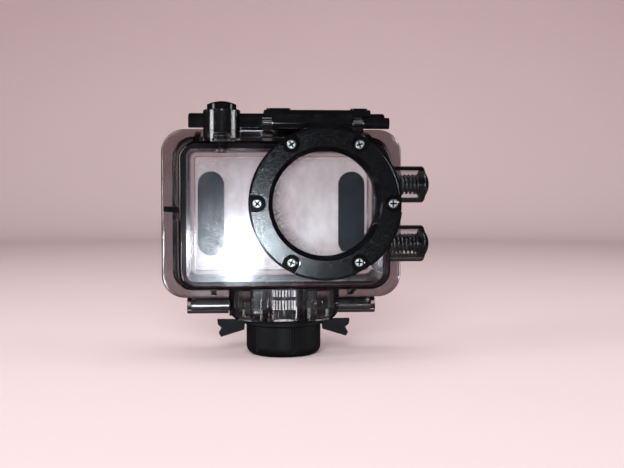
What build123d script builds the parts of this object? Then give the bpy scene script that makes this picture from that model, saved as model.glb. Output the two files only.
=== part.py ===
from build123d import *
import math
import os

# Clear waterproof housing of an action camera, closed and empty, standing on its tripod adapter.
# Millimetres, +Z up. The lens port faces -Y and +X is to the right, seen from the front.
# The origin is the mouth of the tripod thread, in the middle of the adapter's flat underside.

os.makedirs("parts", exist_ok=True)

# ---- Driving dimensions ------------------------------------------------------------------------

# Case: the box that holds the camera, and the flange where shell and door meet
case_z = 45.0
case_width = 66.0
case_height = 46.0
case_corner = 5.8
wall = 2.4
cavity_width = case_width - 2 * wall
cavity_height = case_height - 2 * wall
cavity_corner = 2.5
flange_width = 80.0
flange_height = 56.0
flange_corner = 7.7
flange_depth = 3.0
flange_edge_radius = 0.9
shoulder_width = 72.6
shoulder_height = 51.0
shoulder_corner = 6.8
shoulder_depth = 3.2
shoulder_slope = 30
case_edge_radius = 1.2

# Depths, from the front to the back
ring_front_y = -23.0
boss_front_y = -19.0
window_front_y = -14.0
cavity_front_y = -11.8
boss_back_y = -8.0
joint_y = 13.0
door_front_y = 13.05
door_flange_back_y = 15.8
door_back_y = 17.8

# Lens port
lens_x = 11.8
lens_z = case_z + 3.75
boss_radius = 22.5
port_radius = 16.4
seat_radius = 18.9
seat_depth = 3.0
glass_radius = 18.7
glass_thickness = 2.0
lens_gasket_thickness = 0.8
ring_radius = 23.3
ring_rim_width = 0.7
ring_rim_height = 0.3
bevel_outer_radius = 17.3
bevel_inner_radius = 15.9
bolt_circle_radius = 20.6
bolt_count = 6
bolt_pocket_radius = 2.55
bolt_pocket_depth = 1.4
bolt_seat_radius = 1.75
bolt_seat_depth = 0.4
bolt_head_radius = 1.5
bolt_head_height = 1.15
bolt_shank_radius = 0.95
bolt_tip_y = -12.6
bolt_clearance = 0.05

# Door hinge
hinge_y = 13.2
hinge_z = 14.1
knuckle_radius = 2.65
hinge_pin_radius = 1.7
running_clearance = 0.05
door_knuckles = ((-31.7, -17.9), (17.9, 31.4))
hinge_pin_ends = (-30.5, 30.2)

# Tripod block under the case, its threaded insert, the lock nut and the adapter
block_width = 35.4
block_depth = 23.0
block_corner = 8.0
block_bottom_z = 11.1
block_edge_radius = 4.5
block_wall = 3.0
insert_boss_radius = 11.0
insert_radius = 6.2
insert_flange_radius = 7.1
insert_flange_height = 1.9
insert_bottom_z = 11.15
insert_top_z = 21.3
insert_bore_radius = 3.2
insert_fit = 0.05
knurl_teeth = 36
knurl_depth = 0.5
knurl_bands = ((15.1, 17.9), (19.0, 21.3))
stud_radius = 3.15
stud_top_z = 19.6
stud_bottom_z = 6.9
thread_pitch = 1.27
thread_depth = 0.45
adapter_radius = 12.0
adapter_height = 10.0
adapter_groove_radius = 0.55
adapter_groove_phase = 12.3
adapter_grooves = 6
tripod_bore_radius = 2.6
tripod_bore_depth = 6.0
nut_radius = 13.0
nut_bottom_z = 10.1
nut_top_z = 10.95
nut_bore_radius = 3.25
nut_wing_thickness = 3.2
nut_wing_tip = 21.4

# Push buttons: all lengths are along the button, from the outer face of the case wall
collar_radius = 5.9
collar_bore_radius = 4.8
collar_floor = 1.2
gland_radius = 2.7
gland_floor = -0.6
seal_ring_radius = 2.1
seal_cord_radius = 0.55
seal_place = 0.3
stem_hole_radius = 1.58
stem_radius = 1.5
stem_end = -3.3
clip_groove_radius = 1.2
clip_back = -3.0
clip_front = -2.5
clip_radius = 2.5
button_cap_radius = 4.65
shutter_dome_height = 1.1
side_dome_height = 1.9
sleeve_end = 3.0
shutter_sleeve = (3.5, button_cap_radius)
side_sleeve = (1.4, 2.45)
spring_radius = 3.0
spring_wire_radius = 0.3
spring_pitch = 1.2
shutter_x = -19.7
shutter_y = -3.5
shutter_collar_length = 10.3
shutter_cap_base = 9.4
shutter_cap_top = 13.0
side_button_y = 0.0
side_button_heights = (case_z + 9.7, case_z - 9.5)
side_collar_length = 12.7
side_cap_base = 11.1
side_cap_top = 14.4
side_collar_edge_radius = 0.9
shutter_collar_edge_radius = 0.6

# Latch on top of the case
latch_y = -5.0
latch_z = 74.1
latch_pin_radius = 0.8
lug_radius = 1.9
lug_spans = ((-6.9, -3.9), (22.0, 25.0))
barrel_radius = 1.8
lever_barrel = (-3.6, 21.7)
arm_barrel = (25.3, 33.5)
bar_ends = (-30.7, 33.5)
bar_front_y = 4.2
bar_back_y = 9.8
bar_bottom_z = 73.4
bar_top_z = 77.9
lever_ends = (-6.2, 27.8)
lever_bottom_z = 76.3
lever_top_z = 78.5
hook_ends = (-13.7, 27.5)
hook_bottom_z = 74.0
keeper_back_y = 17.6
keeper_bottom_z = 69.8
keeper_top_z = 73.7
keeper_peg_radius = 1.0

# Ribs between the case walls and the flange
rib_thickness = 1.8
top_rib_x = 27.7
bottom_rib_x = 22.6
side_rib_z = case_z + 1.6

# Foam pads, lip, gasket and rounded edges of the door
pad_width = 8.8
pad_height = 28.2
pad_thickness = 1.2
pad_x = 23.7
lip_width = 60.4
lip_height = 40.4
lip_corner = 2.3
lip_wall = 1.2
lip_front_y = 10.6
gasket_front_y = 13.02
gasket_back_y = 14.0
gasket_width = 1.4
gasket_outer_width = case_width - 0.4
gasket_outer_height = case_height - 0.4
gasket_corner = case_corner - 0.2
door_edge_radius = 0.7

case_top_z = case_z + case_height / 2
case_bottom_z = case_z - case_height / 2
case_side_x = case_width / 2


# ---- Helpers -----------------------------------------------------------------------------------

def facing(y, x=0.0, z=0.0):
    """Plane at depth y whose normal points to the front."""
    return Plane(origin=(x, y, z), x_dir=(1, 0, 0), z_dir=(0, -1, 0))


def across(x):
    """Plane at x whose own axes are Y and Z and whose normal is +X."""
    return Plane(origin=(x, 0, 0), x_dir=(0, 1, 0), z_dir=(1, 0, 0))


def save(builder, name):
    """Label a finished piece and write its STEP file."""
    builder.part.label = name
    export_step(builder.part, f"parts/{name}.step")


# A button's plane lies on the outer face of the case wall, with its normal pointing outwards.
shutter_plane = Plane(origin=(shutter_x, shutter_y, case_top_z), x_dir=(1, 0, 0), z_dir=(0, 0, 1))
side_planes = [
    Plane(origin=(case_side_x, side_button_y, z), x_dir=(0, 1, 0), z_dir=(1, 0, 0))
    for z in side_button_heights
]


# ---- Front shell -------------------------------------------------------------------------------

with BuildPart() as front_shell:
    # Flange on the joint face, the shoulder that slopes up from it, and the case in front
    with BuildSketch(facing(joint_y, z=case_z)):
        RectangleRounded(flange_width, flange_height, flange_corner)
    extrude(amount=flange_depth)
    fillet(front_shell.faces().sort_by(Axis.Y)[0].edges(), flange_edge_radius)
    with BuildSketch(facing(joint_y - flange_depth, z=case_z)):
        RectangleRounded(shoulder_width, shoulder_height, shoulder_corner)
    extrude(amount=shoulder_depth, taper=shoulder_slope)
    with BuildSketch(facing(joint_y, z=case_z)):
        RectangleRounded(case_width, case_height, case_corner)
    extrude(amount=joint_y - window_front_y)
    fillet(front_shell.faces().sort_by(Axis.Y)[0].edges(), case_edge_radius)

    # Round boss of the lens port
    with BuildSketch(facing(boss_back_y, lens_x, lens_z)):
        Circle(boss_radius)
    extrude(amount=boss_back_y - boss_front_y)

    # Tripod block with rounded lower edges
    with BuildSketch(Plane.XY.offset(block_bottom_z)):
        RectangleRounded(block_width, block_depth, block_corner)
    extrude(amount=case_bottom_z - block_bottom_z + wall / 2)
    fillet(front_shell.faces().sort_by(Axis.Z)[0].edges(), block_edge_radius)

    # Middle knuckle of the door hinge, behind the block
    with BuildSketch(across(-block_width / 2 + 0.1)):
        with Locations((hinge_y, hinge_z)):
            Circle(knuckle_radius)
        with Locations((hinge_y, hinge_z - knuckle_radius)):
            Rectangle(7.0, 2 * knuckle_radius, align=(Align.MAX, Align.MIN))
    extrude(amount=block_width - 0.2)

    # Lugs that carry the latch pin
    for start, end in lug_spans:
        with BuildSketch(across(start)):
            with BuildLine():
                foot_left = (latch_y - 3.6, case_top_z - wall / 2)
                foot_right = (latch_y + 3.6, case_top_z - wall / 2)
                side_left = (latch_y - lug_radius, latch_z)
                side_right = (latch_y + lug_radius, latch_z)
                Polyline(side_left, foot_left, foot_right, side_right)
                ThreePointArc(side_right, (latch_y, latch_z + lug_radius), side_left)
            make_face()
        extrude(amount=end - start)

    # Ribs that stiffen the flange
    for x in (-top_rib_x, top_rib_x):
        with BuildSketch(across(x - rib_thickness / 2)):
            with BuildLine():
                Polyline(
                    (-12.0, case_top_z - 0.5),
                    (10.5, case_top_z - 0.5),
                    (10.5, case_z + flange_height / 2 - 0.9),
                    (9.0, case_z + flange_height / 2 - 0.9),
                    close=True,
                )
            make_face()
        extrude(amount=rib_thickness)
    for x in (-bottom_rib_x, bottom_rib_x):
        with BuildSketch(across(x - rib_thickness / 2)):
            with BuildLine():
                Polyline(
                    (-12.0, case_bottom_z + 0.5),
                    (10.5, case_bottom_z + 0.5),
                    (10.5, case_z - flange_height / 2 + 0.9),
                    (9.0, case_z - flange_height / 2 + 0.9),
                    close=True,
                )
            make_face()
        extrude(amount=rib_thickness)
    with BuildSketch(Plane.XY.offset(side_rib_z - rib_thickness / 2)):
        for side in (-1, 1):
            with BuildLine():
                Polyline(
                    (side * (case_side_x - 0.5), -12.0),
                    (side * (case_side_x - 0.5), 10.5),
                    (side * (flange_width / 2 - 0.9), 10.5),
                    (side * (flange_width / 2 - 0.9), 9.0),
                    close=True,
                )
            make_face()
    extrude(amount=rib_thickness)

    # Button collars, outside
    with BuildSketch(shutter_plane):
        Circle(collar_radius)
    extrude(amount=shutter_collar_length)
    fillet(
        front_shell.edges().filter_by(GeomType.CIRCLE).group_by(Axis.Z)[-1],
        shutter_collar_edge_radius,
    )
    for plane in side_planes:
        with BuildSketch(plane):
            Circle(collar_radius)
        extrude(amount=side_collar_length)
    fillet(
        front_shell.edges().filter_by(GeomType.CIRCLE).group_by(Axis.X)[-1],
        side_collar_edge_radius,
    )

    # Camera cavity, lens port and the seat of the front glass
    with BuildSketch(facing(joint_y, z=case_z)):
        RectangleRounded(cavity_width, cavity_height, cavity_corner)
    extrude(amount=joint_y - cavity_front_y, mode=Mode.SUBTRACT)
    with BuildSketch(facing(cavity_front_y, lens_x, lens_z)):
        Circle(port_radius)
    extrude(amount=cavity_front_y - boss_front_y, mode=Mode.SUBTRACT)
    with BuildSketch(facing(boss_front_y + seat_depth, lens_x, lens_z)):
        Circle(seat_radius)
    extrude(amount=seat_depth, mode=Mode.SUBTRACT)
    with BuildSketch(facing(bolt_tip_y, lens_x, lens_z)):
        with PolarLocations(bolt_circle_radius, bolt_count):
            Circle(bolt_shank_radius)
    extrude(amount=bolt_tip_y - boss_front_y, mode=Mode.SUBTRACT)

    # Button collars, inside: cap bore, seal gland and stem hole
    for plane in [shutter_plane, *side_planes]:
        with BuildSketch(plane.offset(collar_floor)):
            Circle(collar_bore_radius)
        extrude(amount=side_collar_length, mode=Mode.SUBTRACT)
        with BuildSketch(plane.offset(gland_floor)):
            Circle(gland_radius)
        extrude(amount=collar_floor - gland_floor, mode=Mode.SUBTRACT)
        with BuildSketch(plane.offset(-wall - 0.1)):
            Circle(stem_hole_radius)
        extrude(amount=wall, mode=Mode.SUBTRACT)

    # Tripod block, inside: two pockets round the insert's boss, and the insert's stepped bore
    with BuildSketch(Plane.XY.offset(block_bottom_z)):
        RectangleRounded(
            block_width - 2 * block_wall, block_depth - 2 * block_wall, block_corner - block_wall
        )
        Circle(insert_boss_radius, mode=Mode.SUBTRACT)
    extrude(amount=case_bottom_z - block_bottom_z - 1.0, mode=Mode.SUBTRACT)
    with BuildSketch(Plane.XY.offset(block_bottom_z)):
        Circle(insert_flange_radius + insert_fit)
    extrude(
        amount=insert_bottom_z + insert_flange_height + insert_fit - block_bottom_z,
        mode=Mode.SUBTRACT,
    )
    with BuildSketch(Plane.XY.offset(block_bottom_z)):
        Circle(insert_radius + insert_fit)
    extrude(amount=insert_top_z + insert_fit - block_bottom_z, mode=Mode.SUBTRACT)

    # Bores of the hinge pin and the latch pin
    with BuildSketch(across(-block_width / 2)):
        with Locations((hinge_y, hinge_z)):
            Circle(hinge_pin_radius + running_clearance)
    extrude(amount=block_width, mode=Mode.SUBTRACT)
    with BuildSketch(across(lug_spans[0][0])):
        with Locations((latch_y, latch_z)):
            Circle(latch_pin_radius + running_clearance)
    extrude(amount=lug_spans[1][1] - lug_spans[0][0], mode=Mode.SUBTRACT)
save(front_shell, "front_shell")


# ---- Lens port ---------------------------------------------------------------------------------

with BuildPart() as lens_gasket:
    with BuildSketch(facing(boss_front_y + seat_depth, lens_x, lens_z)):
        Circle(glass_radius)
        Circle(port_radius + 0.2, mode=Mode.SUBTRACT)
    extrude(amount=lens_gasket_thickness)
save(lens_gasket, "lens_gasket")

with BuildPart() as lens_glass:
    glass_back_y = boss_front_y + seat_depth - lens_gasket_thickness
    with BuildSketch(facing(glass_back_y, lens_x, lens_z)):
        Circle(glass_radius)
    extrude(amount=glass_thickness)
    chamfer(lens_glass.edges().filter_by(GeomType.CIRCLE), 0.25)
save(lens_glass, "lens_glass")

with BuildPart() as lens_ring:
    with BuildSketch(facing(boss_front_y, lens_x, lens_z)):
        Circle(ring_radius)
    extrude(amount=boss_front_y - ring_front_y + ring_rim_height)
    # The textured face lies a little behind the raised outer rim
    with BuildSketch(facing(ring_front_y, lens_x, lens_z)):
        Circle(ring_radius - ring_rim_width)
    extrude(amount=ring_rim_height, mode=Mode.SUBTRACT)
    with BuildSketch(facing(boss_front_y, lens_x, lens_z)):
        Circle(bevel_inner_radius)
    extrude(amount=boss_front_y - ring_front_y, mode=Mode.SUBTRACT)
    bevel_edge = (
        lens_ring.edges()
        .filter_by(GeomType.CIRCLE)
        .filter_by(lambda e: abs(e.radius - bevel_inner_radius) < 0.01)
        .sort_by(Axis.Y)[0]
    )
    chamfer(bevel_edge, length=3.0, length2=bevel_outer_radius - bevel_inner_radius)
    # Screw pockets, open to the rim, with a seat and a clearance hole in each
    pocket_floor_y = ring_front_y + bolt_pocket_depth
    with BuildSketch(facing(pocket_floor_y, lens_x, lens_z)):
        with PolarLocations(bolt_circle_radius, bolt_count):
            Circle(bolt_pocket_radius)
            Rectangle(4.0, 2 * bolt_pocket_radius, align=(Align.MIN, Align.CENTER))
    extrude(amount=3.0, mode=Mode.SUBTRACT)
    with BuildSketch(facing(pocket_floor_y + bolt_seat_depth, lens_x, lens_z)):
        with PolarLocations(bolt_circle_radius, bolt_count):
            Circle(bolt_seat_radius)
    extrude(amount=bolt_seat_depth, mode=Mode.SUBTRACT)
    with BuildSketch(facing(boss_front_y, lens_x, lens_z)):
        with PolarLocations(bolt_circle_radius, bolt_count):
            Circle(bolt_shank_radius + bolt_clearance)
    extrude(amount=boss_front_y - pocket_floor_y, mode=Mode.SUBTRACT)
save(lens_ring, "lens_ring")

with BuildPart() as lens_ring_screws:
    head_base_y = pocket_floor_y + bolt_seat_depth
    head_front_y = head_base_y - bolt_head_height
    with BuildSketch(facing(head_base_y, lens_x, lens_z)):
        with PolarLocations(bolt_circle_radius, bolt_count):
            Circle(bolt_head_radius)
    extrude(amount=bolt_head_height)
    head_rims = (
        lens_ring_screws.faces().filter_by(Axis.Y).group_by(Axis.Y)[0].edges()
    )
    fillet(head_rims, 0.45)
    with BuildSketch(facing(bolt_tip_y - 0.1, lens_x, lens_z)):
        with PolarLocations(bolt_circle_radius, bolt_count):
            Circle(bolt_shank_radius)
    extrude(amount=bolt_tip_y - 0.1 - head_base_y)
    # Cross recess of each head, turned a little differently from screw to screw
    for number in range(bolt_count):
        angle = math.radians(number * 360 / bolt_count)
        x = lens_x + bolt_circle_radius * math.cos(angle)
        z = lens_z + bolt_circle_radius * math.sin(angle)
        with BuildSketch(facing(head_front_y + 0.6, x, z)):
            for turn in (0, 90):
                Rectangle(2.0, 0.5, rotation=17 * number + turn)
        extrude(amount=0.7, mode=Mode.SUBTRACT)
save(lens_ring_screws, "lens_ring_screws")


# ---- Rear door ---------------------------------------------------------------------------------

with BuildPart() as rear_door:
    # Flange with rounded edges, and the raised panel behind it
    with BuildSketch(facing(door_flange_back_y, z=case_z)):
        RectangleRounded(flange_width, flange_height, flange_corner)
    extrude(amount=door_flange_back_y - door_front_y)
    fillet(rear_door.faces().filter_by(Axis.Y).edges(), door_edge_radius)
    with BuildSketch(facing(door_back_y, z=case_z)):
        RectangleRounded(case_width - 2.0, case_height - 2.0, case_corner - 1.0)
    extrude(amount=door_back_y - door_front_y)
    fillet(rear_door.faces().sort_by(Axis.Y)[-1].edges(), 1.0)
    # Groove of the gasket, under the end of the case wall, and the lip that plugs into the case
    with BuildSketch(facing(gasket_back_y, z=case_z)):
        RectangleRounded(gasket_outer_width, gasket_outer_height, gasket_corner)
        RectangleRounded(
            gasket_outer_width - 2 * gasket_width, gasket_outer_height - 2 * gasket_width,
            gasket_corner - gasket_width, mode=Mode.SUBTRACT,
        )
    extrude(amount=gasket_back_y - door_front_y, mode=Mode.SUBTRACT)
    with BuildSketch(facing(door_front_y, z=case_z)):
        RectangleRounded(lip_width, lip_height, lip_corner)
    extrude(amount=door_front_y - lip_front_y)
    with BuildSketch(facing(door_flange_back_y, z=case_z)):
        RectangleRounded(
            lip_width - 2 * lip_wall, lip_height - 2 * lip_wall, lip_corner - lip_wall
        )
    extrude(amount=door_flange_back_y - lip_front_y, mode=Mode.SUBTRACT)
    # Hinge knuckles under the flange
    for start, end in door_knuckles:
        with BuildSketch(across(start)):
            with Locations((hinge_y, hinge_z)):
                Circle(knuckle_radius)
            with Locations((door_flange_back_y, hinge_z)):
                Rectangle(2.7, 3.2, align=(Align.MAX, Align.MIN))
        extrude(amount=end - start)
        with BuildSketch(across(start)):
            with Locations((hinge_y, hinge_z)):
                Circle(hinge_pin_radius + running_clearance)
        extrude(amount=end - start, mode=Mode.SUBTRACT)
    # Holes for the pegs of the latch keeper
    keeper_pegs = [(x, keeper_bottom_z + 1.5) for x in (hook_ends[0] + 6, hook_ends[1] - 6)]
    with BuildSketch(facing(door_flange_back_y)):
        with Locations(*keeper_pegs):
            Circle(keeper_peg_radius + running_clearance)
    extrude(amount=2.0, mode=Mode.SUBTRACT)
save(rear_door, "rear_door")

with BuildPart() as door_gasket:
    with BuildSketch(facing(gasket_back_y, z=case_z)):
        RectangleRounded(gasket_outer_width, gasket_outer_height, gasket_corner)
        RectangleRounded(
            gasket_outer_width - 2 * gasket_width, gasket_outer_height - 2 * gasket_width,
            gasket_corner - gasket_width, mode=Mode.SUBTRACT,
        )
    extrude(amount=gasket_back_y - gasket_front_y)
save(door_gasket, "door_gasket")


def foam_pad(x):
    """Stadium of foam on the inner face of the door, which keeps the camera from rattling."""
    with BuildPart() as pad:
        with BuildSketch(facing(door_flange_back_y, x, case_z)):
            SlotOverall(pad_height, pad_width, rotation=90)
        extrude(amount=pad_thickness)
    return pad


save(foam_pad(-pad_x), "door_pad_left")
save(foam_pad(pad_x), "door_pad_right")

with BuildPart() as latch_keeper:
    with BuildSketch(across(hook_ends[0])):
        with BuildLine():
            Polyline(
                (door_flange_back_y, keeper_top_z - 0.4),
                (door_flange_back_y, keeper_bottom_z),
                (keeper_back_y, keeper_bottom_z),
                (keeper_back_y, keeper_top_z - 0.4),
                (keeper_back_y - 0.4, keeper_top_z),
                (door_flange_back_y + 0.4, keeper_top_z),
                close=True,
            )
        make_face()
    extrude(amount=hook_ends[1] - hook_ends[0])
    fillet(latch_keeper.edges().filter_by(Axis.Y).group_by(Axis.Z)[0], 1.0)
    with BuildSketch(facing(door_flange_back_y)):
        with Locations(*keeper_pegs):
            Circle(keeper_peg_radius)
    extrude(amount=1.8)
save(latch_keeper, "latch_keeper")

with BuildPart() as hinge_pin:
    with BuildSketch(across(hinge_pin_ends[0])):
        with Locations((hinge_y, hinge_z)):
            Circle(hinge_pin_radius)
    extrude(amount=hinge_pin_ends[1] - hinge_pin_ends[0])
    chamfer(hinge_pin.edges().filter_by(GeomType.CIRCLE), 0.3)
save(hinge_pin, "hinge_pin")


# ---- Latch -------------------------------------------------------------------------------------

with BuildPart() as latch_pin:
    with BuildSketch(across(lug_spans[0][0] + 0.1)):
        with Locations((latch_y, latch_z)):
            Circle(latch_pin_radius)
    extrude(amount=arm_barrel[1] - 1.0 - lug_spans[0][0])
    chamfer(latch_pin.edges().filter_by(GeomType.CIRCLE), 0.2)
save(latch_pin, "latch_pin")

with BuildPart() as latch_bar:
    # The long bar that lies on the flange
    with BuildSketch(across(bar_ends[0])):
        with BuildLine():
            Polyline(
                (bar_front_y, bar_bottom_z),
                (bar_back_y, bar_bottom_z),
                (bar_back_y, bar_top_z - 0.6),
                (bar_back_y - 0.6, bar_top_z),
                (bar_front_y + 1.2, bar_top_z),
                (bar_front_y, bar_top_z - 1.2),
                close=True,
            )
        make_face()
    extrude(amount=bar_ends[1] - bar_ends[0])
    fillet(latch_bar.edges().filter_by(Axis.Y).group_by(Axis.Z)[-1], 0.8)
    # Arm and barrel at the right end, round the latch pin
    with BuildSketch(across(arm_barrel[0])):
        with Locations((latch_y, latch_z)):
            Circle(barrel_radius)
        with Locations((latch_y, bar_bottom_z)):
            Rectangle(bar_front_y - latch_y + 1, 2.4, align=(Align.MIN, Align.MIN))
    extrude(amount=arm_barrel[1] - arm_barrel[0])
    # Hook plate, with a sloping lip that catches the keeper from behind
    with BuildSketch(across(hook_ends[0])):
        with BuildLine():
            Polyline(
                (bar_back_y - 1.0, hook_bottom_z),
                (keeper_back_y + 0.2, hook_bottom_z),
                (keeper_back_y + 0.3, keeper_top_z),
                (keeper_back_y + 1.35, keeper_top_z - 0.5),
                (keeper_back_y + 2.6, keeper_top_z - 0.5),
                (keeper_back_y + 3.1, hook_bottom_z + 0.6),
                (keeper_back_y + 4.4, hook_bottom_z + 1.1),
                (keeper_back_y + 4.4, hook_bottom_z + 2.2),
                (bar_back_y - 1.0, hook_bottom_z + 2.2),
                close=True,
            )
        make_face()
    extrude(amount=hook_ends[1] - hook_ends[0])
    # Seat for the lever plate
    with BuildSketch(across(lever_ends[0])):
        with Locations((bar_front_y - 1, lever_bottom_z)):
            Rectangle(bar_back_y - bar_front_y + 4, 4.0, align=(Align.MIN, Align.MIN))
    extrude(amount=lever_ends[1] - lever_ends[0], mode=Mode.SUBTRACT)
    with BuildSketch(across(arm_barrel[0])):
        with Locations((latch_y, latch_z)):
            Circle(latch_pin_radius + running_clearance)
    extrude(amount=arm_barrel[1] - arm_barrel[0] - 0.8, mode=Mode.SUBTRACT)
save(latch_bar, "latch_bar")

with BuildPart() as latch_lever:
    # Plate with a rounded front, over the pin and the bar
    plate_front_y = latch_y + 0.6
    with BuildSketch(across(lever_ends[0])):
        with BuildLine():
            Polyline(
                (plate_front_y + 1.9, lever_top_z),
                (bar_back_y + 1.4, lever_top_z),
                (bar_back_y + 2.2, lever_top_z - 0.8),
                (bar_back_y + 2.2, lever_bottom_z),
                (plate_front_y, lever_bottom_z),
            )
            RadiusArc((plate_front_y, lever_bottom_z), (plate_front_y + 1.9, lever_top_z), 2.4)
        make_face()
    extrude(amount=lever_ends[1] - lever_ends[0])
    # Barrel round the pin and the web that joins it to the plate
    with BuildSketch(across(lever_barrel[0])):
        with Locations((latch_y, latch_z)):
            Circle(barrel_radius)
        with Locations((latch_y, latch_z)):
            Rectangle(
                2 * barrel_radius, lever_bottom_z - latch_z + 0.5, align=(Align.CENTER, Align.MIN)
            )
    extrude(amount=lever_barrel[1] - lever_barrel[0])
    with BuildSketch(across(lever_barrel[0])):
        with Locations((latch_y, latch_z)):
            Circle(latch_pin_radius + running_clearance)
    extrude(amount=lever_barrel[1] - lever_barrel[0], mode=Mode.SUBTRACT)
    # Raised finger grips at both ends of the plate
    with BuildSketch(Plane.XY.offset(lever_top_z)):
        for x, width in ((lever_ends[0] + 4.6, 7.6), (lever_ends[1] - 3.4, 5.2)):
            with Locations((x, latch_y + 6.5)):
                RectangleRounded(width, 9.0, 1.2)
    extrude(amount=0.5)
save(latch_lever, "latch_lever")


# ---- Push buttons ------------------------------------------------------------------------------

def push_button(plane, cap_base, cap_top, dome_height, sleeve):
    """Domed cap and its stem, with a sleeve under the cap and the clip's groove at the inner end."""
    cap_edge = cap_top - dome_height
    dome_radius = (button_cap_radius**2 + dome_height**2) / (2 * dome_height)
    dome_middle = dome_radius - math.sqrt(dome_radius**2 - (button_cap_radius / 2) ** 2)
    with BuildPart() as button:
        with BuildSketch(Plane(plane.origin, x_dir=plane.x_dir, z_dir=-plane.y_dir)):
            with BuildLine():
                Polyline(
                    (0, cap_top), (0, stem_end), (stem_radius, stem_end),
                    (stem_radius, clip_back), (clip_groove_radius, clip_back),
                    (clip_groove_radius, clip_front), (stem_radius, clip_front),
                    (stem_radius, cap_base), (button_cap_radius, cap_base),
                    (button_cap_radius, cap_edge),
                )
                ThreePointArc(
                    (button_cap_radius, cap_edge),
                    (button_cap_radius / 2, cap_top - dome_middle),
                    (0, cap_top),
                )
            make_face()
        revolve(axis=Axis(plane.origin, plane.z_dir))
        sleeve_inner, sleeve_outer = sleeve
        with BuildSketch(plane.offset(sleeve_end)):
            Circle(sleeve_outer)
            Circle(sleeve_inner, mode=Mode.SUBTRACT)
        extrude(amount=cap_base - sleeve_end)
    return button


def button_spring(plane, cap_base):
    """Coil spring between the collar's floor and the cap."""
    low = collar_floor + spring_wire_radius + 0.05
    height = cap_base - low - spring_wire_radius - 0.05
    foot = plane.offset(low).origin
    with BuildPart() as spring:
        with BuildLine() as coil:
            Helix(spring_pitch, height, spring_radius, center=foot, direction=plane.z_dir)
        with BuildSketch(Plane(coil.line @ 0, z_dir=coil.line % 0)):
            Circle(spring_wire_radius)
        sweep(path=coil.line, is_frenet=True)
    return spring


def button_seal(plane):
    """O-ring round the stem, in the gland of the case wall."""
    with BuildPart() as seal:
        with BuildSketch(Plane(plane.origin, x_dir=plane.x_dir, z_dir=-plane.y_dir)):
            with Locations((seal_ring_radius, seal_place)):
                Circle(seal_cord_radius)
        revolve(axis=Axis(plane.origin, plane.z_dir))
    return seal


def button_clip(plane):
    """Open spring clip in the stem's groove, which keeps the button in."""
    with BuildPart() as clip:
        with BuildSketch(plane.offset(clip_back + 0.02)):
            Circle(clip_radius)
            Circle(clip_groove_radius + 0.02, mode=Mode.SUBTRACT)
            Rectangle(2 * clip_radius, 1.9, align=(Align.MIN, Align.CENTER), mode=Mode.SUBTRACT)
        extrude(amount=clip_front - clip_back - 0.04)
    return clip


# The shutter's sleeve goes round its spring, and the side buttons' sleeves go inside theirs
shutter_cap = (shutter_cap_base, shutter_cap_top, shutter_dome_height, shutter_sleeve)
side_cap = (side_cap_base, side_cap_top, side_dome_height, side_sleeve)
button_sets = (
    ("shutter", shutter_plane, shutter_cap),
    ("upper", side_planes[0], side_cap),
    ("lower", side_planes[1], side_cap),
)
for name, plane, cap in button_sets:
    cap_base = cap[0]
    save(push_button(plane, *cap), f"{name}_button")
    save(button_spring(plane, cap_base), f"{name}_spring")
    save(button_seal(plane), f"{name}_seal")
    save(button_clip(plane), f"{name}_clip")


# ---- Tripod fittings ---------------------------------------------------------------------------

with BuildPart() as tripod_insert:
    with BuildSketch(Plane.XY.offset(insert_bottom_z)):
        Circle(insert_radius)
    extrude(amount=insert_top_z - insert_bottom_z)
    with BuildSketch(Plane.XY.offset(insert_bottom_z)):
        Circle(insert_flange_radius)
    extrude(amount=insert_flange_height)
    chamfer(tripod_insert.edges().filter_by(GeomType.CIRCLE).group_by(Axis.Z)[-1], 0.4)
    # Plain necks between the knurled bands
    necks = (
        (insert_bottom_z + insert_flange_height, knurl_bands[0][0]),
        (knurl_bands[0][1], knurl_bands[1][0]),
    )
    for low, high in necks:
        with BuildSketch(Plane.XY.offset(low)):
            Circle(insert_radius + 0.1)
            Circle(insert_radius - 1.0, mode=Mode.SUBTRACT)
        extrude(amount=high - low, mode=Mode.SUBTRACT)
    # Straight knurl: a ring of V-shaped notches in each band
    notch_side = knurl_depth * math.sqrt(2)
    for low, high in knurl_bands:
        with BuildSketch(Plane.XY.offset(low)):
            with PolarLocations(insert_radius, knurl_teeth):
                Rectangle(notch_side, notch_side, rotation=45)
        extrude(amount=high - low + 0.01, mode=Mode.SUBTRACT)
    with BuildSketch(Plane.XY.offset(insert_bottom_z)):
        Circle(insert_bore_radius)
    extrude(amount=stud_top_z + 0.5 - insert_bottom_z, mode=Mode.SUBTRACT)
save(tripod_insert, "tripod_insert")

with BuildPart() as adapter_stud:
    with BuildSketch(Plane.XZ):
        with BuildLine():
            crest = stud_radius
            root = stud_radius - thread_depth
            outline = [(0, stud_bottom_z), (crest, stud_bottom_z), (crest, nut_bottom_z - 0.2)]
            turns = int((stud_top_z - 0.8 - nut_bottom_z) / thread_pitch)
            for turn in range(turns):
                start = nut_bottom_z + turn * thread_pitch
                outline.append((root, start + 0.3))
                outline.append((crest, start + 0.75))
                outline.append((crest, start + thread_pitch - 0.2))
            outline += [(crest, stud_top_z - 0.6), (crest - 0.6, stud_top_z), (0, stud_top_z)]
            Polyline(*outline, close=True)
        make_face()
    revolve(axis=Axis.Z)
save(adapter_stud, "adapter_stud")

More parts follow.
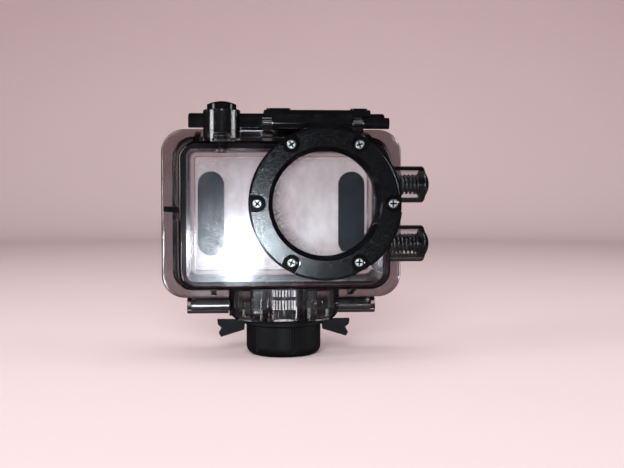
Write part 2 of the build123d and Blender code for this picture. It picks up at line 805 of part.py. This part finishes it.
with BuildPart() as adapter_barrel:
    with BuildSketch(Plane.XY):
        Circle(adapter_radius)
    extrude(amount=adapter_height)
    barrel_rims = adapter_barrel.edges().filter_by(GeomType.CIRCLE).sort_by(Axis.Z)
    fillet(barrel_rims[0], 3.0)
    fillet(adapter_barrel.edges().filter_by(GeomType.CIRCLE).sort_by(Axis.Z)[-1], 0.6)
    with BuildSketch(Plane.XY):
        with PolarLocations(adapter_radius, adapter_grooves, start_angle=adapter_groove_phase - 90):
            Circle(adapter_groove_radius)
    extrude(amount=adapter_height, mode=Mode.SUBTRACT)
    with BuildSketch(Plane.XY):
        Circle(tripod_bore_radius)
    extrude(amount=tripod_bore_depth, mode=Mode.SUBTRACT)
    with BuildSketch(Plane.XY.offset(stud_bottom_z)):
        Circle(stud_radius)
    extrude(amount=adapter_height - stud_bottom_z, mode=Mode.SUBTRACT)
save(adapter_barrel, "adapter_barrel")

with BuildPart() as lock_nut:
    with BuildSketch(Plane.XY.offset(nut_bottom_z)):
        Circle(nut_radius)
    extrude(amount=nut_top_z - nut_bottom_z)
    # Two upright wings whose outer ends are notched like a fish's tail
    with BuildSketch(Plane.XZ.offset(-nut_wing_thickness / 2)):
        for side in (-1, 1):
            with BuildLine():
                Polyline(
                    (side * (adapter_radius - 1.0), nut_bottom_z),
                    (side * (adapter_radius + 0.5), nut_bottom_z),
                    (side * (adapter_radius + 0.7), 7.9),
                    (side * (nut_wing_tip - 1.2), 5.6),
                    (side * (nut_wing_tip - 0.5), 6.8),
                    (side * (nut_wing_tip - 1.4), 8.5),
                    (side * (nut_wing_tip - 0.2), 9.6),
                    (side * nut_wing_tip, nut_top_z + 0.1),
                    (side * (adapter_radius - 1.0), nut_top_z),
                    close=True,
                )
            make_face()
    extrude(amount=nut_wing_thickness)
    with BuildSketch(Plane.XY.offset(nut_bottom_z)):
        Circle(nut_bore_radius)
    extrude(amount=nut_top_z - nut_bottom_z, mode=Mode.SUBTRACT)
save(lock_nut, "lock_nut")
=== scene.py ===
"""Looks of the clear camera housing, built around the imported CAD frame. Metres, +Z up."""
import math

import bmesh
import bpy
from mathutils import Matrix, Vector


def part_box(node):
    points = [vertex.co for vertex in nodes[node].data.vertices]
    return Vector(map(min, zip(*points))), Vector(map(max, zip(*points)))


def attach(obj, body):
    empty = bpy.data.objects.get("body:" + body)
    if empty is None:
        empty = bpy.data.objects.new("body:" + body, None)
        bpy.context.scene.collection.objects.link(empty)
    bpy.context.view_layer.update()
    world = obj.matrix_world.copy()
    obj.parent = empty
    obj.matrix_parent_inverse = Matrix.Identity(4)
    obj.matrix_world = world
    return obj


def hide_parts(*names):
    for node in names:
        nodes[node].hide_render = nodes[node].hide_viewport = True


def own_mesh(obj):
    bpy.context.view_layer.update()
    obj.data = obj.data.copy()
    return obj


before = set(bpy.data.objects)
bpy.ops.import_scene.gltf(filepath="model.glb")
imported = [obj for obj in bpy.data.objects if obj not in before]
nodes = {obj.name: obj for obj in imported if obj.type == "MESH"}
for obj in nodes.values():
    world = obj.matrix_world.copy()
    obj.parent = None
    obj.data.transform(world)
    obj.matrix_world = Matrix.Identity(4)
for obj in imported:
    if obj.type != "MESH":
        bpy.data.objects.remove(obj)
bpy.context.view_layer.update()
MM = 0.001
X, Y, Z = range(3)


# ---- Places taken from the frame ---------------------------------------------------------------

def middle(node):
    """Centre of a node's box."""
    low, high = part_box(node)
    return (Vector(low) + Vector(high)) / 2


def span(node, axis):
    """Lowest and highest value of a node's box along an axis."""
    low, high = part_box(node)
    return low[axis], high[axis]


door_middle = middle("door_gasket")
ring_front = span("lens_ring", Y)[0]
joint_face = span("door_gasket", Y)[0]


# ---- Camera ------------------------------------------------------------------------------------

CAMERA_DISTANCE = 0.300
CAMERA_OFFSET = (-0.0140, 0.00785)
LOOK = (0.072, 1.0, -0.044)
# The focal length and the sensor's width are in millimetres, as Blender takes them.
FOCAL_LENGTH = 57.7
SENSOR_WIDTH = 36.0


def make_camera():
    """Camera square to the case, a little left of and above its middle, turned slightly."""
    data = bpy.data.cameras.new("camera")
    data.lens = FOCAL_LENGTH
    data.sensor_width = SENSOR_WIDTH
    data.clip_start = 0.01
    data.clip_end = 10.0
    camera = bpy.data.objects.new("camera", data)
    bpy.context.collection.objects.link(camera)
    camera.location = (
        CAMERA_OFFSET[0], ring_front - CAMERA_DISTANCE, door_middle.z + CAMERA_OFFSET[1]
    )
    camera.rotation_euler = Vector(LOOK).to_track_quat("-Z", "Y").to_euler()
    bpy.context.scene.camera = camera


# ---- Floor and black cards ---------------------------------------------------------------------

FLOOR_RADIUS = 0.75
BEND_RADIUS = 0.25
WALL_TOP = 1.1
SIDE_FLAG_BEARING = 58
SIDE_FLAG_DISTANCE = 0.45
SIDE_FLAG_SIZE = (0.50, 0.9)
LEVEL_FLAG_HALF_WIDTH = 0.3


def make_backdrop():
    """Round studio: a pale floor that curves up into a wall all round the object."""
    bend_steps = 16
    turn_steps = 96
    profile = [(0.0, 0.0), (FLOOR_RADIUS / 2, 0.0), (FLOOR_RADIUS, 0.0)]
    for step in range(1, bend_steps + 1):
        angle = math.pi / 2 * step / bend_steps
        profile.append((
            FLOOR_RADIUS + BEND_RADIUS * math.sin(angle), BEND_RADIUS * (1 - math.cos(angle))
        ))
    profile.append((FLOOR_RADIUS + BEND_RADIUS, WALL_TOP))
    mesh = bpy.data.meshes.new("backdrop")
    shape = bmesh.new()
    line = [shape.verts.new((radius, 0.0, height)) for radius, height in profile]
    edges = [shape.edges.new(pair) for pair in zip(line, line[1:])]
    bmesh.ops.spin(
        shape, geom=line + edges, axis=(0, 0, 1), cent=(0, 0, 0), angle=2 * math.pi,
        steps=turn_steps, use_merge=True,
    )
    bmesh.ops.remove_doubles(shape, verts=shape.verts, dist=1e-6)
    for face in shape.faces:
        face.smooth = True
    shape.to_mesh(mesh)
    shape.free()
    backdrop = bpy.data.objects.new("backdrop", mesh)
    bpy.context.collection.objects.link(backdrop)
    backdrop.data.materials.append(backdrop_material())


def make_card(name, corners, material):
    """Black card that only shows in the object's refractions and reflections."""
    mesh = bpy.data.meshes.new(name)
    mesh.from_pydata(corners, [], [(0, 1, 2, 3)])
    card = bpy.data.objects.new(name, mesh)
    bpy.context.collection.objects.link(card)
    card.data.materials.append(material)
    card.visible_camera = False
    card.visible_diffuse = False
    card.visible_shadow = False


def make_side_flag(name, bearing, material):
    """Upright card beside the object, at an angle from straight behind it."""
    width, height = SIDE_FLAG_SIZE
    angle = math.radians(90 + bearing)
    center = Vector((math.cos(angle), math.sin(angle), 0.0)) * SIDE_FLAG_DISTANCE
    across = Vector((-math.sin(angle), math.cos(angle), 0.0)) * (width / 2)
    up = Vector((0, 0, height))
    corners = (center - across, center + across, center + across + up, center - across + up)
    make_card(name, corners, material)


def make_level_flag(name, height, near, far, material):
    """Level card behind the object, between two distances."""
    half = LEVEL_FLAG_HALF_WIDTH
    corners = [(-half, near, height), (half, near, height), (half, far, height), (-half, far, height)]
    make_card(name, corners, material)


def make_flags():
    """Black cards on both sides and above, which darken clear edges, and one close behind the foot as
    a painted shadow on the floor.
    """
    material = flag_material()
    make_side_flag("flag_left", SIDE_FLAG_BEARING, material)
    make_side_flag("flag_right", -SIDE_FLAG_BEARING, material)
    make_level_flag("flag_top", height=0.42, near=0.10, far=0.60, material=material)
    # Painted shadow: a black card just above the floor behind the foot, standing in for the object's
    # shadow there.
    make_level_flag("foot_shadow_card", height=0.004, near=0.03, far=0.13, material=material)


# ---- Lights ------------------------------------------------------------------------------------

WORLD_COLOR = (0.62, 0.62, 0.64, 1)
WORLD_STRENGTH = 0.35


def area_light(name, place, size, power, color=(1, 1, 1)):
    """Soft light, in watts, that looks at the middle of the door and doesn't show itself."""
    data = bpy.data.lights.new(name, "AREA")
    data.shape = "RECTANGLE"
    data.size, data.size_y = size
    data.energy = power
    data.color = color
    light = bpy.data.objects.new(name, data)
    bpy.context.collection.objects.link(light)
    light.location = place
    aim = door_middle - Vector(place)
    light.rotation_euler = aim.to_track_quat("-Z", "Y").to_euler()
    light.visible_camera = False
    return light


def make_world():
    """Dim even grey all round, which gloss doesn't mirror."""
    world = bpy.data.worlds.new("studio")
    bpy.context.scene.world = world
    world.use_nodes = True
    background = world.node_tree.nodes["Background"]
    background.inputs["Color"].default_value = WORLD_COLOR
    background.inputs["Strength"].default_value = WORLD_STRENGTH
    world.cycles_visibility.glossy = False


def make_lights():
    """Small key below the camera, large soft boxes overhead and in front, a strip on each side."""
    key = area_light(
        "key", place=(-0.014, -0.345, 0.016), size=(0.018, 0.018), power=0.27,
        color=(0.80, 0.91, 1.0),
    )
    key.data.shape = "DISK"
    overhead = area_light("overhead", place=(0.0, 0.05, 0.95), size=(0.8, 0.6), power=4.2)
    fill = area_light(
        "fill", place=(-0.10, -0.85, 0.35), size=(0.5, 0.4), power=1.7, color=(0.90, 0.96, 1.0)
    )
    fill.data.spread = math.radians(50)
    for soft in (overhead, fill):
        soft.visible_glossy = False
        soft.visible_transmission = False
    area_light("left_strip", place=(-0.60, -0.25, 0.30), size=(0.22, 0.6), power=2.2)
    area_light("right_strip", place=(0.65, -0.10, 0.30), size=(0.22, 0.6), power=1.5)
    make_world()


# ---- Coil springs of the buttons ---------------------------------------------------------------

WIRE_RADIUS = 0.3 * MM
COIL_PITCH = 1.3 * MM
STEPS_PER_TURN = 28
WIRE_SIDES = 10


def coil_rise(turn, turns):
    """Height reached after some turns: a closed turn, the open turns, and a closed turn again."""
    closed = 2 * WIRE_RADIUS
    rise = closed * min(turn, 1.0)
    rise += COIL_PITCH * min(max(turn - 1.0, 0.0), turns)
    rise += closed * max(turn - 1.0 - turns, 0.0)
    return rise


def coil_spring(name, node, axis, material):
    """Wire coil with a closed turn at either end, in the place of a CAD spring."""
    low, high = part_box(node)
    center = middle(node)
    side_a, side_b = [other for other in (X, Y, Z) if other != axis]
    coil_radius = (high[side_a] - low[side_a]) / 2 - WIRE_RADIUS
    start = low[axis] + WIRE_RADIUS
    length = high[axis] - low[axis] - 2 * WIRE_RADIUS
    turns = (length - 4 * WIRE_RADIUS) / COIL_PITCH
    shape = bmesh.new()
    rings = []
    for step in range(round((turns + 2) * STEPS_PER_TURN) + 1):
        turn = step / STEPS_PER_TURN
        height = coil_rise(turn, turns)
        angle = 2 * math.pi * turn
        ring = []
        for side in range(WIRE_SIDES):
            around = 2 * math.pi * side / WIRE_SIDES
            reach = coil_radius + WIRE_RADIUS * math.cos(around)
            point = [0.0, 0.0, 0.0]
            point[axis] = start + height + WIRE_RADIUS * math.sin(around)
            point[side_a] = center[side_a] + reach * math.cos(angle)
            point[side_b] = center[side_b] + reach * math.sin(angle)
            ring.append(shape.verts.new(point))
        rings.append(ring)
    for ring, after in zip(rings, rings[1:]):
        for side in range(WIRE_SIDES):
            corner = (side + 1) % WIRE_SIDES
            shape.faces.new((ring[side], ring[corner], after[corner], after[side]))
    shape.faces.new(rings[0])
    shape.faces.new(rings[-1])
    bmesh.ops.recalc_face_normals(shape, faces=shape.faces)
    for face in shape.faces:
        face.smooth = len(face.verts) == 4
    mesh = bpy.data.meshes.new(name)
    shape.to_mesh(mesh)
    shape.free()
    spring = bpy.data.objects.new(name, mesh)
    bpy.context.collection.objects.link(spring)
    spring.data.materials.append(material)
    return spring


def make_springs(material):
    """The three button springs, coiled in place of the CAD springs and carried with the case."""
    for button, axis in (("shutter", Z), ("upper", X), ("lower", X)):
        node = f"{button}_spring"
        spring = coil_spring(f"{button}_coil", node, axis, material)
        low, high = span(node, axis)
        anchor = list(middle(node))
        anchor[axis] = low
        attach(spring, "case")
        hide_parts(node)
        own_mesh(spring)


# ---- Shader helper -----------------------------------------------------------------------------

class Shader:
    """Small helper that adds and joins shader nodes."""

    def __init__(self, name):
        self.material = bpy.data.materials.new(name)
        self.material.use_nodes = True
        self.tree = self.material.node_tree
        self.surface = self.tree.nodes["Principled BSDF"]
        self.output = self.tree.nodes["Material Output"]
        self.place = self.add("ShaderNodeTexCoord").outputs["Object"]

    def add(self, kind, **inputs):
        """New node with some of its inputs set or joined."""
        node = self.tree.nodes.new(kind)
        for key, value in inputs.items():
            self.put(node.inputs[key.replace("_", " ")], value)
        return node

    def put(self, socket, value):
        """Join an output to a socket, or give the socket a value."""
        if isinstance(value, bpy.types.NodeSocket):
            self.tree.links.new(value, socket)
        else:
            socket.default_value = value

    def set(self, **inputs):
        """Inputs of the surface that vary over it."""
        for key, value in inputs.items():
            self.put(self.surface.inputs[key.replace("_", " ")], value)

    def fix(self, socket, value):
        """Input of the surface that is the same all over it."""
        self.surface.inputs[socket].default_value = value

    def noise(self, scale, detail=4.0, roughness=0.55, stretch=None):
        """Noise in the object's own space, stretched along its axes if asked."""
        place = self.place
        if stretch:
            mapping = self.add("ShaderNodeMapping", Vector=place, Scale=stretch)
            place = mapping.outputs["Vector"]
        node = self.add(
            "ShaderNodeTexNoise", Vector=place, Scale=scale, Detail=detail, Roughness=roughness
        )
        return node.outputs["Fac"]

    def ramp(self, value, low, high, start=0.35, end=0.65):
        """Straight ramp from low at start to high at end, level outside them."""
        node = self.add("ShaderNodeMapRange", Value=value)
        node.inputs["From Min"].default_value = start
        node.inputs["From Max"].default_value = end
        node.inputs["To Min"].default_value = low
        node.inputs["To Max"].default_value = high
        return node.outputs["Result"]

    def math(self, operation, *values):
        """One arithmetic step."""
        node = self.add("ShaderNodeMath")
        node.operation = operation
        for socket, value in zip(node.inputs, values):
            self.put(socket, value)
        return node.outputs["Value"]

    def mix(self, factor, a, b):
        """Colour between a and b."""
        node = self.add("ShaderNodeMix")
        node.data_type = "RGBA"
        self.put(node.inputs["Factor"], factor)
        self.put(node.inputs["A"], a)
        self.put(node.inputs["B"], b)
        return node.outputs["Result"]

    def bump(self, height, distance, strength=1.0, normal=None):
        """Normal bent by a height, on top of another one if given."""
        node = self.add("ShaderNodeBump", Height=height, Distance=distance, Strength=strength)
        if normal is not None:
            self.put(node.inputs["Normal"], normal)
        return node.outputs["Normal"]

    def coordinates(self):
        """Outputs X, Y and Z of the shaded point's place."""
        return self.add("ShaderNodeSeparateXYZ", Vector=self.place).outputs

    def away(self, value, level):
        """How far a value is from a fixed level, on either side."""
        return self.math("ABSOLUTE", self.math("SUBTRACT", value, level))

    def reach(self, point):
        """Distance of the shaded point from a fixed one."""
        node = self.add("ShaderNodeVectorMath", Vector=self.place)
        node.operation = "DISTANCE"
        node.inputs[1].default_value = point
        return node.outputs["Value"]


# ---- Materials of the studio -------------------------------------------------------------------

MIRROR_DIMMING = 0.93


def backdrop_material():
    """Pale paper that mirrors dimly in gloss, as through a polarising filter."""
    shader = Shader("backdrop")
    cloud = shader.noise(scale=3.0)
    pale = shader.mix(cloud, (0.62, 0.49, 0.49, 1), (0.65, 0.52, 0.52, 1))
    path = shader.add("ShaderNodeLightPath").outputs
    mirrored = shader.math("MINIMUM", path["Glossy Depth"], 1.0)
    dimmed = shader.math("MULTIPLY", mirrored, MIRROR_DIMMING)
    shader.set(
        Base_Color=shader.mix(dimmed, pale, (0.01, 0.01, 0.01, 1)),
        Roughness=shader.ramp(cloud, low=0.85, high=0.95),
    )
    return shader.material


def flag_material():
    """Black cloth of the cards."""
    shader = Shader("flag_cloth")
    cloud = shader.noise(scale=3.0)
    shader.set(
        Base_Color=shader.mix(cloud, (0.006, 0.006, 0.006, 1), (0.01, 0.01, 0.01, 1)),
        Roughness=shader.ramp(cloud, low=0.9, high=1.0),
    )
    return shader.material


# ---- Clear materials ---------------------------------------------------------------------------

POLYCARBONATE_IOR = 1.57
ABSORBED_TINT = (0.56, 0.50, 0.53, 1)
ABSORPTION_DENSITY = 130.0
LAMP_LIGHT_KEPT = (0.9, 0.9, 0.9, 1)
JOINT_SHADE_DEPTH = 0.1 * MM
SMEAR_OFFSET = (-17.0 * MM, -9.0 * MM)
SMEAR_CORE = 12.0 * MM
SMEAR_EDGE = 32.0 * MM
PANEL_SKIN = 0.1 * MM
PANEL_MARGIN = 3 * MM
PANEL_FADE = 2 * MM
GLASS_IOR = 1.5
RIM_BAND_SHIFT = 2.6 * MM
RIM_BAND_START = 14.0 * MM
RIM_BAND_END = 18.0 * MM


def let_lamps_through(shader):
    """Sends lamp light on through a clear piece, so that what it holds is lit."""
    path = shader.add("ShaderNodeLightPath").outputs
    through = shader.add("ShaderNodeBsdfTransparent", Color=LAMP_LIGHT_KEPT)
    mixed = shader.add("ShaderNodeMixShader")
    shader.put(mixed.inputs[0], path["Is Shadow Ray"])
    shader.put(mixed.inputs[1], shader.surface.outputs["BSDF"])
    shader.put(mixed.inputs[2], through.outputs["BSDF"])
    shader.put(shader.output.inputs["Surface"], mixed.outputs["Shader"])


def absorb(shader, tint, density):
    """Darkens light by the distance that it runs inside the piece."""
    volume = shader.add("ShaderNodeVolumeAbsorption", Color=tint, Density=density)
    shader.put(shader.output.inputs["Volume"], volume.outputs["Volume"])


def wiped_smear(shader, haze):
    """Mask of a streaky smear, low on the left of the case's front."""
    center = (
        door_middle.x + SMEAR_OFFSET[0], span("front_shell", Y)[0], door_middle.z + SMEAR_OFFSET[1]
    )
    wiped = shader.ramp(shader.reach(center), low=1.0, high=0.0, start=SMEAR_CORE, end=SMEAR_EDGE)
    streak = shader.ramp(haze, low=0.18, high=0.9, start=0.36, end=0.60)
    return shader.math("MULTIPLY", wiped, streak)


def joint_painted_shade(shader, place):
    """Mask of the faces of case and door that meet at the joint, where painted shade goes."""
    off_joint = shader.away(place["Y"], joint_face)
    return shader.ramp(off_joint, low=1.0, high=0.0, start=JOINT_SHADE_DEPTH, end=2 * JOINT_SHADE_DEPTH)


def milky_panel(shader, place, haze):
    """Mask of the milky middle of the door's back face, a little inside its gasket."""
    low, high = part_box("door_gasket")
    half_width = (high[X] - low[X]) / 2 - PANEL_MARGIN
    half_height = (high[Z] - low[Z]) / 2 - PANEL_MARGIN
    across = shader.away(place["X"], door_middle.x)
    upright = shader.away(place["Z"], door_middle.z)
    inside = shader.math(
        "MULTIPLY",
        shader.ramp(across, low=1.0, high=0.0, start=half_width - PANEL_FADE, end=half_width),
        shader.ramp(upright, low=1.0, high=0.0, start=half_height - PANEL_FADE, end=half_height),
    )
    rear = shader.math("GREATER_THAN", place["Y"], span("rear_door", Y)[1] - PANEL_SKIN)
    milky = shader.math("MULTIPLY", shader.ramp(haze, low=0.20, high=0.55), rear)
    return shader.math("MULTIPLY", milky, inside)


def clear_plastic(name, milky=False):
    """Moulded polycarbonate with fine scratches, wiped haze and a dark brownish painted shade on the
    faces at the joint.
    """
    shader = Shader(name)
    scratch = shader.noise(scale=900.0, detail=6.0, roughness=0.6, stretch=(1.0, 1.0, 0.08))
    haze = shader.noise(scale=60.0, detail=8.0, roughness=0.65, stretch=(1.0, 1.0, 0.6))
    speck = shader.noise(scale=2600.0, detail=2.0)
    wave = shader.noise(scale=90.0, detail=1.0)
    place = shader.coordinates()
    cloud = shader.ramp(haze, low=0.03, high=1.0, start=0.44, end=0.66)
    cloud = shader.math("MAXIMUM", cloud, wiped_smear(shader, haze))
    speckled = shader.ramp(speck, low=0.45, high=1.3, start=0.38, end=0.62)
    waviness = shader.bump(wave, distance=0.2 * MM, strength=0.12)
    shader.set(
        # Painted shade: the faces at the joint turn a dark brownish grey.
        Base_Color=shader.mix(
            joint_painted_shade(shader, place), (0.97, 0.97, 0.975, 1), (0.40, 0.34, 0.34, 1)
        ),
        Roughness=shader.ramp(haze, low=0.02, high=0.05),
        Normal=shader.bump(scratch, distance=0.01 * MM, strength=0.25, normal=waviness),
        Coat_Weight=shader.math("MULTIPLY", cloud, speckled),
    )
    shader.fix("Transmission Weight", 1.0)
    if milky:
        shader.set(
            Transmission_Weight=shader.math("SUBTRACT", 1.0, milky_panel(shader, place, haze))
        )
    shader.fix("IOR", POLYCARBONATE_IOR)
    shader.fix("Coat Roughness", 0.15)
    absorb(shader, ABSORBED_TINT, ABSORPTION_DENSITY)
    let_lamps_through(shader)
    return shader.material


def port_glass():
    """Flat port glass with a few wiped smears, and a dark speckled band along its left-hand rim."""
    shader = Shader("port_glass")
    smear = shader.noise(scale=45.0, detail=5.0, roughness=0.6, stretch=(1.0, 1.0, 0.4))
    speck = shader.noise(scale=3600.0, detail=3.0, roughness=0.6)
    center = middle("lens_glass")
    reach = shader.reach((center.x + RIM_BAND_SHIFT, center.y, center.z))
    rim = shader.ramp(reach, low=0.0, high=1.0, start=RIM_BAND_START, end=RIM_BAND_END)
    speckled = shader.ramp(speck, low=0.1, high=1.0, start=0.40, end=0.60)
    rim_band = shader.math("MULTIPLY", rim, speckled)
    shader.set(
        # The base colour turns dark grey in speckles towards the left-hand rim.
        Base_Color=shader.mix(rim_band, (0.97, 0.98, 0.98, 1), (0.07, 0.075, 0.09, 1)),
        Roughness=shader.ramp(smear, low=0.0, high=0.05),
        Normal=shader.bump(smear, distance=0.005 * MM, strength=0.2),
        Coat_Weight=shader.ramp(smear, low=0.0, high=0.12, start=0.4, end=0.7),
    )
    shader.fix("Transmission Weight", 1.0)
    shader.fix("IOR", GLASS_IOR)
    shader.fix("Coat Roughness", 0.3)
    let_lamps_through(shader)
    return shader.material


# ---- Black, metal and soft materials -----------------------------------------------------------

BLACK_IOR = 1.5
RING_RIM_HEIGHT = 0.3 * MM
GRAIN_SKIN = 0.05 * MM
KNURL_ROOT = 5.8 * MM
KNURL_CREST = 6.1 * MM
RECESS_SHADE_START = 0.5 * MM
RECESS_SHADE_FULL = 0.58 * MM


def ring_black():
    """Black ring: a grained face, and smooth rim, pockets and bevel."""
    shader = Shader("ring_black")
    off_face = shader.away(shader.coordinates()["Y"], ring_front + RING_RIM_HEIGHT)
    grained = shader.ramp(off_face, low=1.0, high=0.0, start=GRAIN_SKIN, end=2 * GRAIN_SKIN)
    grain = shader.noise(scale=3400.0, detail=2.0, roughness=0.6)
    wear = shader.noise(scale=250.0, detail=6.0, roughness=0.7)
    speck = shader.noise(scale=2600.0, detail=1.0, roughness=0.5)
    rougher = shader.math("ADD", shader.ramp(speck, low=0.0, high=0.12, start=0.48, end=0.64), 0.05)
    smooth = shader.ramp(wear, low=0.05, high=0.07)
    shader.set(
        Base_Color=shader.mix(wear, (0.0012, 0.0012, 0.0015, 1), (0.0025, 0.0025, 0.003, 1)),
        Roughness=shader.math("MULTIPLY_ADD", grained, rougher, smooth),
        Normal=shader.bump(grain, distance=0.018 * MM, strength=grained),
    )
    shader.fix("Specular IOR Level", 0.5)
    shader.fix("IOR", BLACK_IOR)
    return shader.material


def black_plastic(name, grain_scale, grain_depth, smooth, rough, gloss=0.5):
    """Black moulding with grain and light wear."""
    shader = Shader(name)
    grain = shader.noise(scale=grain_scale, detail=3.0, roughness=0.6)
    wear = shader.noise(scale=250.0, detail=6.0, roughness=0.7)
    worn = shader.ramp(wear, low=0.0, high=1.0, start=0.45, end=0.75)
    shader.set(
        Base_Color=shader.mix(worn, (0.002, 0.002, 0.0025, 1), (0.004, 0.004, 0.0045, 1)),
        Roughness=shader.ramp(wear, low=smooth, high=rough),
        Normal=shader.bump(grain, distance=grain_depth, strength=0.8),
    )
    shader.fix("IOR", BLACK_IOR)
    shader.fix("Specular IOR Level", gloss)
    return shader.material


def metal(name, tint, smooth, rough, scale, stretch):
    """Plain metal with brush marks and darker patches."""
    shader = Shader(name)
    brushed = shader.noise(scale=scale, detail=4.0, roughness=0.6, stretch=stretch)
    patch = shader.noise(scale=300.0, detail=3.0)
    dark = tuple(c * 0.7 for c in tint) + (1,)
    shader.set(
        Base_Color=shader.mix(patch, tint + (1,), dark),
        Roughness=shader.ramp(brushed, low=smooth, high=rough),
        Normal=shader.bump(brushed, distance=0.01 * MM, strength=0.4),
    )
    shader.fix("Metallic", 1.0)
    return shader.material


def insert_nickel():
    """Bright nickel with painted shade in the grooves and necks of its knurl, by distance from the
    axis.
    """
    shader = Shader("insert_nickel")
    brushed = shader.noise(scale=900.0, detail=4.0, roughness=0.6)
    place = shader.coordinates()
    level = shader.add("ShaderNodeCombineXYZ", X=place["X"], Y=place["Y"])
    radial = shader.add("ShaderNodeVectorMath", Vector=level.outputs["Vector"])
    radial.operation = "LENGTH"
    groove_shade_ramp = shader.ramp(
        radial.outputs["Value"], low=0.0, high=1.0, start=KNURL_ROOT, end=KNURL_CREST
    )
    shader.set(
        # Painted shade: the nickel turns near black towards the roots of the knurl.
        Base_Color=shader.mix(groove_shade_ramp, (0.05, 0.05, 0.05, 1), (0.98, 0.96, 0.93, 1)),
        Roughness=shader.ramp(brushed, low=0.22, high=0.34),
        Normal=shader.bump(brushed, distance=0.01 * MM, strength=0.4),
    )
    shader.fix("Metallic", 0.5)
    return shader.material


def screw_steel():
    """Bright screw heads with painted shade in their cross recesses, which are also rougher."""
    shader = Shader("screw_steel")
    turned = shader.noise(scale=1500.0, detail=4.0, roughness=0.6)
    head_front = span("lens_ring_screws", Y)[0]
    sunk = shader.math("SUBTRACT", shader.coordinates()["Y"], head_front)
    recess_shade = shader.ramp(sunk, low=0.0, high=1.0, start=RECESS_SHADE_START, end=RECESS_SHADE_FULL)
    head_roughness = shader.ramp(turned, low=0.32, high=0.45)
    shader.set(
        # Painted shade: the cross recess turns near black below the head's face.
        Base_Color=shader.mix(recess_shade, (0.70, 0.70, 0.69, 1), (0.015, 0.015, 0.015, 1)),
        Roughness=shader.math("MULTIPLY_ADD", recess_shade, 0.35, head_roughness),
        Normal=shader.bump(turned, distance=0.02 * MM, strength=0.4),
    )
    shader.fix("Metallic", 1.0)
    return shader.material


def foam():
    """Dark blue-grey foam with fine cells."""
    shader = Shader("foam")
    cell = shader.add("ShaderNodeTexVoronoi", Vector=shader.place, Scale=3500.0)
    patch = shader.noise(scale=120.0, detail=5.0)
    shader.set(
        Base_Color=shader.mix(patch, (0.004, 0.0055, 0.008, 1), (0.009, 0.012, 0.016, 1)),
        Roughness=shader.ramp(patch, low=0.8, high=0.95),
        Normal=shader.bump(cell.outputs["Distance"], distance=0.08 * MM, strength=0.8),
    )
    return shader.material


def rubber(name, tint):
    """Dark rubber with paler, rougher patches."""
    shader = Shader(name)
    patch = shader.noise(scale=400.0, detail=4.0)
    light = tuple(min(1.0, c * 1.4 + 0.01) for c in tint) + (1,)
    shader.set(
        Base_Color=shader.mix(patch, tint + (1,), light),
        Roughness=shader.ramp(patch, low=0.35, high=0.6),
        Normal=shader.bump(patch, distance=0.02 * MM, strength=0.4),
    )
    return shader.material


# ---- Finishes of the CAD nodes -----------------------------------------------------------------

def make_finishes(wire):
    """The material of each CAD node."""
    gloss = black_plastic(
        "latch_black", grain_scale=1500.0, grain_depth=0.004 * MM, smooth=0.08, rough=0.14
    )
    cap = black_plastic(
        "cap_black", grain_scale=1500.0, grain_depth=0.004 * MM, smooth=0.08, rough=0.14
    )
    knob = black_plastic(
        "knob_black", grain_scale=2200.0, grain_depth=0.02 * MM, smooth=0.45, rough=0.60, gloss=0.25
    )
    steel = metal(
        "pin_steel", tint=(0.72, 0.71, 0.70), smooth=0.12, rough=0.28, scale=800.0,
        stretch=(0.05, 1.0, 1.0),
    )
    seal = rubber("gasket_black", tint=(0.015, 0.015, 0.016))
    pad = foam()
    finishes = {
        "front_shell": clear_plastic("clear_polycarbonate"),
        "rear_door": clear_plastic("clouded_polycarbonate", milky=True),
        "lens_glass": port_glass(), "lens_gasket": seal,
        "lens_ring": ring_black(), "lens_ring_screws": screw_steel(),
        "door_gasket": rubber("gasket_dark", tint=(0.02, 0.02, 0.022)),
        "door_pad_left": pad, "door_pad_right": pad,
        "hinge_pin": steel, "latch_pin": steel,
        "latch_bar": gloss, "latch_lever": gloss, "latch_keeper": gloss,
        "tripod_insert": insert_nickel(), "adapter_stud": steel,
        "adapter_barrel": knob, "lock_nut": knob,
    }
    for button in ("shutter", "upper", "lower"):
        finishes[f"{button}_button"] = cap
        finishes[f"{button}_clip"] = wire
        finishes[f"{button}_seal"] = seal
    return finishes


def finish_nodes(finishes):
    """Put each finish in all slots of its CAD node."""
    for name, material in finishes.items():
        materials = nodes[name].data.materials
        for number in range(len(materials)):
            materials[number] = material


bpy.context.scene.view_settings.view_transform = "Standard"
make_camera()
make_backdrop()
make_flags()
make_lights()
spring_wire = metal(
    "spring_steel", tint=(0.30, 0.30, 0.31), smooth=0.22, rough=0.34, scale=1500.0,
    stretch=(1.0, 1.0, 1.0),
)
finish_nodes(make_finishes(spring_wire))
make_springs(spring_wire)
